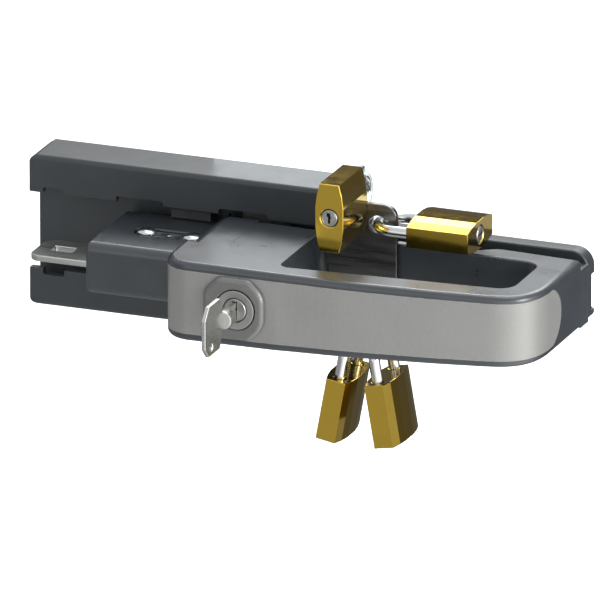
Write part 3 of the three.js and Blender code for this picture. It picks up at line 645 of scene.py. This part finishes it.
def base_plate():
    outline = rounded([
        (-BASE_HALF, BASE_LEFT, 0.4), (-BASE_HALF, BASE_RIGHT, 3),
        (BASE_HALF, BASE_RIGHT, 8.5), (BASE_HALF, BASE_LEFT, 0.4)], 12)
    plate = soft_prism("right_base_plate", "y", outline, -BASE_DEPTH, 0, 0.9, 0.2)
    tools = [
        mouth("groove", "y", rectangle(-3.8, 3.8, 183, 271, 3.5), -BASE_DEPTH, -4.5, 0.4, 0),
        prism("notch", "y", rectangle(-13, 5, BASE_RIGHT - 1.7, BASE_RIGHT + 3, 1.5), -4, 1)]
    for x, z in BASE_SCREWS:
        tools.append(turned("seat", "y", (z, x), [
            (4.0, -BASE_DEPTH - 1), (4.0, -BASE_DEPTH), (3.5, -BASE_DEPTH + 0.5), (3.5, -BASE_DEPTH + 4.3),
            (2.1, -BASE_DEPTH + 4.3), (2.1, 1)]))
    for side in (1, -1):
        tools.append(turned("hole", "y", (side * BRACKET_SCREW_Z, BRACKET_SCREW_X), [(2.3, -12), (2.3, -2)]))
    return softened(cut(plate, *tools), 0.2)


finished(base_plate(), "right_base_plate")


# ---------------------------------------------------------------- hasp plate and brackets
HOLE_R = 4.2
HOLES = [(x, z) for x in (168.9, 181.2) for z in (28, -28)]
PLATE_BACK = 33
PLATE_FRONT = 36


def plate_holes(back, front, chamfer):
    return [turned("hole", "y", (z, x), [
        (HOLE_R + chamfer + 1, -front - 1), (HOLE_R + chamfer, -front), (HOLE_R, -front + chamfer),
        (HOLE_R, -back - chamfer), (HOLE_R + chamfer, -back), (HOLE_R + chamfer + 1, -back + 1)])
        for x, z in HOLES]


def hasp_plate():
    outline = rectangle(-38, 38, 155.3, 190.7, 6.5, 12)
    plate = soft_prism("hasp_plate", "y", outline, -PLATE_FRONT, -PLATE_BACK, 0.45, 0.3, steps=3)
    notch = prism("notch", "y", rectangle(1.4, 5.4, 150, 156.7, 0.5), -40, -30)
    return softened(cut(plate, notch, *plate_holes(PLATE_BACK, PLATE_FRONT, 0.35)), 0.12)


finished(hasp_plate(), "hasp_plate")


LUG_BACK = 29.5
LUG_FRONT = 32.7
BRACKET_FRONT = 11.8


def hasp_bracket(node, side):
    """A foot on the base plate, an arm to the front and a lug behind the hasp plate's two holes."""
    x0, x1, lug_right = 163.5, 178, 187
    low, high = 20.5, 35.5
    profile = rounded([
        (-BRACKET_FRONT, 10, 0.4), (-8.8, 10, 0.4), (-8.8, 23.5, 2.6),
        (-LUG_FRONT, 23.5), (-LUG_FRONT, low), (-BRACKET_FRONT, low, 1.2)], 6)
    profile = anticlockwise([(y, side * z) for y, z in profile])
    strip = soft_prism(node, "x", profile, x0, x1, 0.3, 0.3, steps=2)
    lug_outline = rounded([
        (side * low, x0, 0.3), (side * low, lug_right, 2), (side * high, lug_right, 5), (side * high, x0, 5)])
    lug = soft_prism("lug", "y", lug_outline, -LUG_FRONT, -LUG_BACK, 0.3, 0.3, steps=2)
    hole = turned("hole", "y", (side * BRACKET_SCREW_Z, BRACKET_SCREW_X), [(2.3, -20), (2.3, -5)])
    return cut(join(strip, lug), hole, *plate_holes(LUG_BACK, LUG_FRONT, 0.3))


def bracket_screw(node, side):
    """A dome-headed screw with a hexagon socket."""
    centre = (side * BRACKET_SCREW_Z, BRACKET_SCREW_X)
    under_head = -BRACKET_FRONT - 0.2
    dome = [(3.4 * math.sin(a), under_head - 2.2 * math.cos(a)) for a in quarter(8, 1)]
    shank = [(2, under_head), (2, -3), (1.5, -2.5), (0, -2.5)]
    screw = turned(node, "y", centre, [(0.001, -BRACKET_FRONT - 2.4)] + dome + shank)
    socket = prism("socket", "y", circle(*centre, 1.43, 6), -BRACKET_FRONT - 3, -BRACKET_FRONT - 1)
    return cut(screw, socket)


for word, side in (("upper", 1), ("lower", -1)):
    finished(hasp_bracket(f"hasp_bracket_{word}", side), f"hasp_bracket_{word}")
    finished(bracket_screw(f"bracket_screw_{word}", side), f"bracket_screw_{word}")


# ---------------------------------------------------------------- handle
HANDLE_HALF = 19.5
HANDLE_HALF_RIGHT = 17.3
HANDLE_LEFT = 95
HANDLE_RIGHT = 277
HANDLE_FRONT = 97.5
HANDLE_BACK = 26.5
TAPER_START = 135
CARRIAGE_LEFT = 46.4
CARRIAGE_HALF = 12.7
CARRIAGE_FRONT = 69
COVER_HALF = 15.7
COVER_THICK = 2
COVER_NOSE_Y = -62
PINS = (67.2, 90.3)
PIN_Y = -42.5
PIN_BORE_R = 2.8


def half_height(x):
    """Half the handle's height at a place along it."""
    along = max(0.0, (x - TAPER_START) / (HANDLE_RIGHT - TAPER_START))
    return HANDLE_HALF - (HANDLE_HALF - HANDLE_HALF_RIGHT) * along


def tapered(obj):
    """The handle gets lower towards its right end."""
    for vertex in obj.data.vertices:
        vertex.co.z *= half_height(vertex.co.x) / HANDLE_HALF
    return obj


def catmull(points, steps):
    """A smooth curve through all the points."""
    path = [points[0]] + points + [points[-1]]
    curve = []
    for a, b, c, d in zip(path, path[1:], path[2:], path[3:]):
        for k in range(steps):
            t = k / steps
            curve.append(tuple(
                0.5 * (2 * b[i] + (c[i] - a[i]) * t + (2 * a[i] - 5 * b[i] + 4 * c[i] - d[i]) * t * t
                       + (3 * b[i] - a[i] - 3 * c[i] + d[i]) * t ** 3) for i in (0, 1)))
    return curve + [points[-1]]


def bezier(a, b, c, d, steps):
    curve = []
    for k in range(steps + 1):
        t = k / steps
        s = 1 - t
        weights = (s ** 3, 3 * s * s * t, 3 * s * t * t, t ** 3)
        curve.append(tuple(sum(w * p[i] for w, p in zip(weights, (a, b, c, d))) for i in (0, 1)))
    return curve


FOOT_LEFT = 222
FOOT_RIGHT = 238
FOOT_BACK = 18.5
STEP_X = 104
STEP_Y = -64


def handle_plan(stepped):
    """The handle seen from above. The stepped plan leaves out what is the carriage's at the left."""
    front = catmull([(150, -97.5), (160, -96.9), (184, -96), (207, -94), (232, -91.2), (254, -88)], 5)[2:]
    right = bezier((258, -87.2), (269, -84.8), (276, -78.5), (HANDLE_RIGHT, -62), 16)
    left = [(HANDLE_LEFT, STEP_Y)] if stepped else [(HANDLE_LEFT, -HANDLE_BACK)]
    radius = 14
    arc = [(HANDLE_LEFT + radius - radius * math.cos(a), -HANDLE_FRONT + radius - radius * math.sin(a))
           for a in quarter(14)]
    points = left + arc + front + right
    if not stepped:
        return anticlockwise(points + [(HANDLE_RIGHT, -FOOT_BACK)])
    points += [(HANDLE_RIGHT, -FOOT_BACK - 1)]
    for k in range(13):
        along = k / 12
        points.append((FOOT_RIGHT - (FOOT_RIGHT - FOOT_LEFT) * along,
                       -FOOT_BACK - (HANDLE_BACK - FOOT_BACK) * eased(along)))
    return anticlockwise(points + [(STEP_X, -HANDLE_BACK), (STEP_X, STEP_Y)])


def grip_outline():
    return rounded([
        (150.2, -32.5, 4.5), (150.2, -85.1, 4.5), (261.6, -72.9, 8.5), (261.6, -32.5, 7)], 12)


def cover_region(gap):
    """The part of the handle's outside that the cover takes, with a round nose at the right."""
    half = COVER_HALF + gap
    radius = half + 0.8
    left = box("left", (90, 200), (-110, -69 + gap), (-half, half))
    nose = [(COVER_NOSE_Y + radius * math.cos(a), radius * math.sin(a)) for a in quarter(16, -16)]
    outline = anticlockwise([(-110, -radius)] + nose + [(-110, radius)])
    right = prism("right", "x", outline, 190, 300)
    right = clip(right, box("clip", (150, 310), (-120, 10), (-half, half)))
    return join(left, right)


def cover_band(name, gap):
    """The cover itself when there is no gap, or the cutter that makes its seat when there is one."""
    inner = prism("inner", "z", inset(handle_plan(False), COVER_THICK + gap), -25, 25)
    outer = prism(name, "z", inset(handle_plan(False), -1 if gap else 0), -22, 22)
    return tapered(clip(cut(outer, inner), cover_region(gap)))


def carriage_block(name):
    """The carriage, lofted along its length: it swells smoothly into the handle."""
    def section(half, front_radius, shrink):
        y0, y1, z = -CARRIAGE_FRONT + shrink, -17, half - shrink
        return rounded([(y1, -z, 0.6), (y1, z, 0.6), (y0, z, front_radius), (y0, -z, front_radius)], 8)

    layers = []
    full_half = HANDLE_HALF - 0.02
    end_radius = 1.6
    for angle in quarter(5):
        layers.append((section(CARRIAGE_HALF, 4.6, end_radius * (1 - math.sin(angle))),
                       CARRIAGE_LEFT + end_radius * (1 - math.cos(angle))))
    for k in range(17):
        along = k / 16
        swell = eased(along)
        half = CARRIAGE_HALF + (full_half - CARRIAGE_HALF) * swell
        layers.append((section(half, 4.6 - 1.6 * swell, 0), 91 + 12.5 * along))
    layers.append((section(full_half, 3.0, 0), 118))
    return stack(name, "x", layers)


def slide_housing():
    carriage = carriage_block("slide_housing")
    handle = tapered(soft_prism("handle", "z", handle_plan(True), -HANDLE_HALF, HANDLE_HALF, 3, 3, steps=6))
    heel = box("heel", (255.1, HANDLE_RIGHT - 0.1), (-19, -BASE_DEPTH - 0.4), (-17, 11.6))
    guide = soft_prism("guide", "y", rectangle(-3.5, 3.5, 256, 270, 1), -BASE_DEPTH - 1, -5, 0, 0.4, steps=2)
    whole = join(carriage, handle, heel, guide)

    opening = tapered(mouth("opening", "z", grip_outline(), -HANDLE_HALF, HANDLE_HALF, 1.0, 1.0, steps=5))
    lips = box("lips", (100, FOOT_LEFT), (-HANDLE_BACK + 0.05, -10), (-25, 25))
    tongue = box("tongue", (40, 102), (-63.3, -37.7), (-1.8, 1.8))
    shoe = box("shoe", (57, 97), (-33.3, -10), (-9.3, 9.3))
    recess_plan = rectangle(61.2, 96.4, PIN_Y - 5.3, PIN_Y + 5.3, 5.2, 12)
    recess = mouth("recess", "z", recess_plan, 10.2, CARRIAGE_HALF, 0, 0.6)
    recess_top = prism("recess_top", "z", inset(recess_plan, -0.6), 15, 25)
    pins = [turned("bore", "z", (x, PIN_Y), [(PIN_BORE_R, -9), (PIN_BORE_R, 20)]) for x in PINS]
    cavity = box("cavity", (112, 147.5), (-84, -10), (-14, 14))
    bore = turned("bore", "y", (0, LOCK_X), [(9.3, -110), (9.3, -80)])
    return cut(whole, opening, lips, tongue, shoe, recess, recess_top,
               *pins, cavity, bore, cover_band("band", 0.15))


finished(slide_housing(), "slide_housing", smooth=32)


def grip_cover():
    cover = cover_band("grip_cover", 0)
    cut(cover, turned("bore", "y", (0, LOCK_X), [(10.2, -110), (10.2, -80)]))
    return softened(cover, 0.35, 3, 40)


finished(grip_cover(), "grip_cover")


# ---------------------------------------------------------------- lock
BEZEL_FRONT = 100.2


def lock_bezel():
    half_w, half_h, corner = 15.3, 15.2, 8
    middle = LOCK_X - 1.2
    outline = rounded([
        (-half_h, middle - corner, 6), (-half_h, middle + corner, 6), (-corner, middle + half_w, 12),
        (corner, middle + half_w, 12), (half_h, middle + corner, 6), (half_h, middle - corner, 6),
        (corner, middle - half_w, 6), (-corner, middle - half_w, 6)], 9)
    plate = soft_prism("lock_bezel", "y", outline, -BEZEL_FRONT, -97.8, 2.3, 0.0, steps=8)
    bore = turned("bore", "y", (0, LOCK_X), [
        (11.5, -BEZEL_FRONT - 1), (10.5, -BEZEL_FRONT), (9.9, -BEZEL_FRONT + 0.5), (9.9, -90)], sides=64)
    return cut(plate, bore)


finished(lock_bezel(), "lock_bezel")

CYLINDER_FRONT = 100.4


def lock_cylinder():
    body = turned("lock_cylinder", "y", (0, LOCK_X), [
        (0, -CYLINDER_FRONT), (9.1, -CYLINDER_FRONT), (9.45, -CYLINDER_FRONT + 0.15),
        (9.6, -CYLINDER_FRONT + 0.5), (9.6, -98), (9, -98), (9, -72.5), (8.5, -72), (0, -72)], sides=64)
    bore = turned("bore", "y", (0, LOCK_X), [
        (6.6, -CYLINDER_FRONT - 1), (6.3, -CYLINDER_FRONT), (5.9, -CYLINDER_FRONT + 0.4), (5.9, -60)])
    return cut(body, bore)


finished(lock_cylinder(), "lock_cylinder")


def key_plug():
    plug = turned("key_plug", "y", (0, LOCK_X), [
        (0, -CYLINDER_FRONT), (5.2, -CYLINDER_FRONT), (5.6, -CYLINDER_FRONT + 0.4),
        (5.6, -70.3), (5.3, -70), (0, -70)])
    slot = box("slot", (LOCK_X - 1.3, LOCK_X + 1.3), (-110, -80), (-4.4, 4.4))
    return cut(plug, slot)


finished(key_plug(), "key_plug")


def lock_key():
    bow_outline = rounded([
        (-117.5, 4, 0.5), (-121.5, 12.7, 0.6), (-135.3, 12.7, 0.6), (-140.3, 7, 0.6), (-140.3, -7, 0.6),
        (-135.3, -12, 0.6), (-121.5, -12, 0.6), (-117.5, -4, 0.5)], 4)
    bow = soft_prism("key", "x", bow_outline, LOCK_X - 1, LOCK_X + 1, 0.35, 0.35, steps=3)
    blade = soft_prism("blade", "x", rounded([
        (-119, -4, 0.4), (-83, -4, 0.4), (-81, -2, 0.6), (-81, 2, 0.6), (-83, 4, 0.4), (-119, 4, 0.4)], 3),
        LOCK_X - 1, LOCK_X + 1, 0.25, 0.25, steps=2)
    hub = turned("hub", "y", (0, LOCK_X), [
        (3.6, -116.5), (4.3, -116.2), (4.6, -115.6), (4.6, -109.6), (4.2, -108.8), (3.4, -108.4)], sides=40)
    eye = turned("eye", "x", (-132.5, -8), [
        (2.4, LOCK_X - 2), (2.2, LOCK_X - 1), (1.8, LOCK_X - 0.6), (1.8, LOCK_X + 0.6), (2.2, LOCK_X + 1),
        (2.4, LOCK_X + 2)], sides=32)
    groove_plan = rectangle(-106, -85, 0.4, 1.6, 0.3, 3)
    grooves = [
        soft_prism("groove", "x", groove_plan, middle - 0.3, middle + 0.3, 0.1, 0.1, steps=2)
        for middle in (LOCK_X - 1.05, LOCK_X + 1.05)]
    return cut(join(bow, blade, hub), eye, *grooves)


finished(lock_key(), "key")


# ---------------------------------------------------------------- tongue, clamp plate and pins
def bolt_tongue():
    outline = rounded([(15, -63, 5), (100, -63, 0.5), (100, -38, 0.5), (20, -38, 3), (15, -43, 3)], 10)
    tongue = soft_prism("bolt_tongue", "z", outline, -1.5, 1.5, 0.45, 0.45, steps=3)
    slot = mouth("slot", "z", rectangle(22.5, 33.5, -53.5, -46.5, 1, 5), -1.5, 1.5, 0.35, 0.35, steps=3)
    holes = [turned("hole", "z", (x, PIN_Y), [(PIN_BORE_R, -5), (PIN_BORE_R, 5)]) for x in PINS]
    return cut(tongue, slot, *holes)


finished(bolt_tongue(), "bolt_tongue")


def clamp_plate():
    outline = rectangle(62, 95.6, PIN_Y - 4.6, PIN_Y + 4.6, 4.5, 12)
    plate = soft_prism("clamp_plate", "z", outline, 10.5, 11.7, 0.15, 0.3, steps=3)
    holes = [turned("hole", "z", (x, PIN_Y), [(PIN_BORE_R, 5), (PIN_BORE_R, 15)]) for x in PINS]
    eye = turned("eye", "z", (78.8, PIN_Y), [(1.3, 5), (1.3, 11.4), (1.8, 11.7), (2.2, 12.5)], sides=24)
    return cut(plate, eye, *holes)


finished(clamp_plate(), "clamp_plate")


def clamp_pin(node, x):
    """A pin with a low domed head."""
    head_r, dome_low = 4.8, 12.8
    shank = [(0, -8.7), (2.1, -8.7), (2.5, -8.3), (2.5, 12)]
    rim = [(head_r - 0.2, 12), (head_r, 12.2), (head_r, dome_low)]
    dome = [(head_r * math.cos(a), dome_low + 1.5 * math.sin(a)) for a in quarter(8, 1)]
    return turned(node, "z", (x, PIN_Y), shank + rim + dome)


for i, x in enumerate(PINS):
    finished(clamp_pin(f"clamp_pin_{i + 1}", x), f"clamp_pin_{i + 1}")


# ---------------------------------------------------------------- return spring of the lock rod
def rod_spring():
    """A coil round the rod's line, from the rod's cup to the rear cover."""
    low, high = (corner.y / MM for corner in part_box("rod_spring"))
    wire_r, coil_r, sides, turns, per_turn = 0.6, 5, 10, 5, 28
    front, back = low + wire_r, high - wire_r
    count = turns * per_turn
    rings = []
    for k in range(count + 1):
        around = 2 * math.pi * k / per_turn
        outward = Vector((math.cos(around), 0, math.sin(around)))
        centre = Vector((LOCK_X, front + (back - front) * k / count, 0)) + outward * coil_r
        rings.append([
            centre + outward * wire_r * math.cos(angle) + Vector((0, wire_r * math.sin(angle), 0))
            for angle in [2 * math.pi * j / sides for j in range(sides)]])
    return lofted("rod_spring", rings)


spring_front, spring_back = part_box("rod_spring")
finished(rod_spring(), "rod_spring",
         bend=("lock_rod", "slider", (0, spring_front.y, 0), (0, spring_back.y, 0)))


# ---------------------------------------------------------------- padlocks
LOCK_BODY_H = 31
LEG = 11
SHACKLE_R = 2.75
BOW_HEIGHT = 19.2
PLUG_R = 4


def padlock_body(name, matrix):
    side = [(-16.6, 4.85), (-11, 6.3), (-5, 7.1), (5, 7.1), (11, 6.3), (16.6, 4.85)]
    outline = anticlockwise([(t, w) for w, t in side] + [(-t, w) for w, t in side[::-1]])
    body = soft_prism(name, "z", outline, -LOCK_BODY_H, 0, 0.35, 0.45, matrix, steps=3)
    tools = [
        turned("heel", "z", (0, LEG), [(3.05, -21), (3.05, -0.35), (3.5, 0.05), (3.5, 1)], matrix),
        turned("toe", "z", (0, -LEG), [(3.05, -8.6), (3.05, -0.35), (3.5, 0.05), (3.5, 1)], matrix),
        turned("latch", "y", (-5.5, 0), [(2.7, -LEG), (2.7, LEG)], matrix),
        turned("plug", "z", (0, 0), [
            (5.4, -LOCK_BODY_H - 1), (4.8, -LOCK_BODY_H), (4.3, -LOCK_BODY_H + 0.45), (4.3, -10)], matrix),
    ]
    return cut(body, *tools)


def padlock_shackle(name, matrix):
    """A round bar with chamfered ends: two legs and a half-circle bow.

    Each station has its place in the shackle's plane, the lean of the bar there and the bar's radius.
    """
    straight = BOW_HEIGHT - LEG
    stations = [(LEG, -20, 0, SHACKLE_R - 0.5), (LEG, -19.5, 0, SHACKLE_R)]
    stations += [(LEG, -19.5 + (straight + 19.5) * k / 3, 0, SHACKLE_R) for k in (1, 2)]
    for k in range(25):
        lean = math.pi * k / 24
        stations.append((LEG * math.cos(lean), straight + LEG * math.sin(lean), lean, SHACKLE_R))
    stations += [(-LEG, straight - 9, math.pi, SHACKLE_R), (-LEG, -7.1, math.pi, SHACKLE_R),
                 (-LEG, -7.6, math.pi, SHACKLE_R - 0.5)]
    rings = []
    for y, z, lean, radius in stations:
        rings.append([
            (across, y + outward * math.cos(lean), z + outward * math.sin(lean))
            for outward, across in circle(0, 0, radius, 28)])
    return lofted(name, rings, matrix)


def padlock_plug(name, matrix):
    face = -LOCK_BODY_H
    plug = turned(name, "z", (0, 0), [
        (0, face), (3.1, face), (3.25, face + 0.2), (3.4, face), (3.75, face), (PLUG_R, face + 0.25),
        (PLUG_R, -11.3), (PLUG_R - 0.3, -11), (0, -11)], matrix)
    keyway = anticlockwise([
        (-0.6, -2.6), (0.6, -2.6), (0.6, 0.5), (1.3, 0.8), (1.3, 2.6), (-0.6, 2.6), (-0.6, 1.2), (-1.0, 0.8),
        (-1.0, 0.2), (-0.6, -0.2)])
    return cut(plug, prism("keyway", "z", keyway, face - 1, face + 6, matrix))


def turn(angle, axis):
    return Matrix.Rotation(math.radians(angle), 4, axis)


# Where each padlock hangs. Its own frame has its shackle up, and its origin on top of its body.
PADLOCKS = [
    Matrix.Translation((168.9, -36.4, 39.3)) @ turn(-90, "X") @ turn(180, "Z"),
    Matrix.Translation((200.6, -33, 28.3)) @ turn(-90, "Y"),
    Matrix.Translation((168.9, -33, -28.5)) @ turn(10.3, "Y") @ Matrix.Translation((0, 0, -BOW_HEIGHT)),
    Matrix.Translation((181.2, -33, -28.5)) @ turn(-9.8, "Y") @ Matrix.Translation((0, 0, -BOW_HEIGHT)),
]
for i, matrix in enumerate(PADLOCKS):
    name = f"padlock_{i + 1}"
    finished(padlock_body(f"{name}_body", matrix), f"{name}_body", crease=(4, 10))
    finished(padlock_shackle(f"{name}_shackle", matrix), f"{name}_shackle")
    finished(padlock_plug(f"{name}_plug", matrix), f"{name}_plug")


# ---------------------------------------------------------------- CAD nodes that stay as they are
for name, node in frame["nodes"].items():
    node.data.materials.clear()
    node.data.materials.append(MATERIALS[SLOT_OF[name]])


# ---------------------------------------------------------------- floor and surroundings
FLOOR_Z = -0.35
FLOOR_REACH = 9
floor_corners = [(FLOOR_REACH * x, FLOOR_REACH * y, FLOOR_Z) for x, y in ((-1, -1), (1, -1), (1, 1), (-1, 1))]
floor = mesh_object("floor", floor_corners, [[0, 1, 2, 3]])
floor.data.materials.append(floor_material())
floor.visible_glossy = False


def surroundings():
    """A studio that is dim low at the back, bright high up, and brighter at the right than at the left."""
    world = bpy.data.worlds.new("studio")
    n = Nodes("studio", world)
    split = n.add("ShaderNodeSeparateXYZ", {0: n.place})
    x, y, z = (split.outputs[axis] for axis in "XYZ")
    sideways = n.remap(x, -0.4, 0.75, 0.5, 2.8)
    low = n.mix(n.remap(y, 0.15, 0.7, 0.0, 1.0), n.tone(sideways), n.tone(0.13))
    high = n.remap(z, 0.42, 0.55, 0.0, 1.0)
    n.feed(n.shader.inputs["Color"], n.mix(high, low, rgba(1.15, 1.17, 1.2)))
    scene.world = world


surroundings()
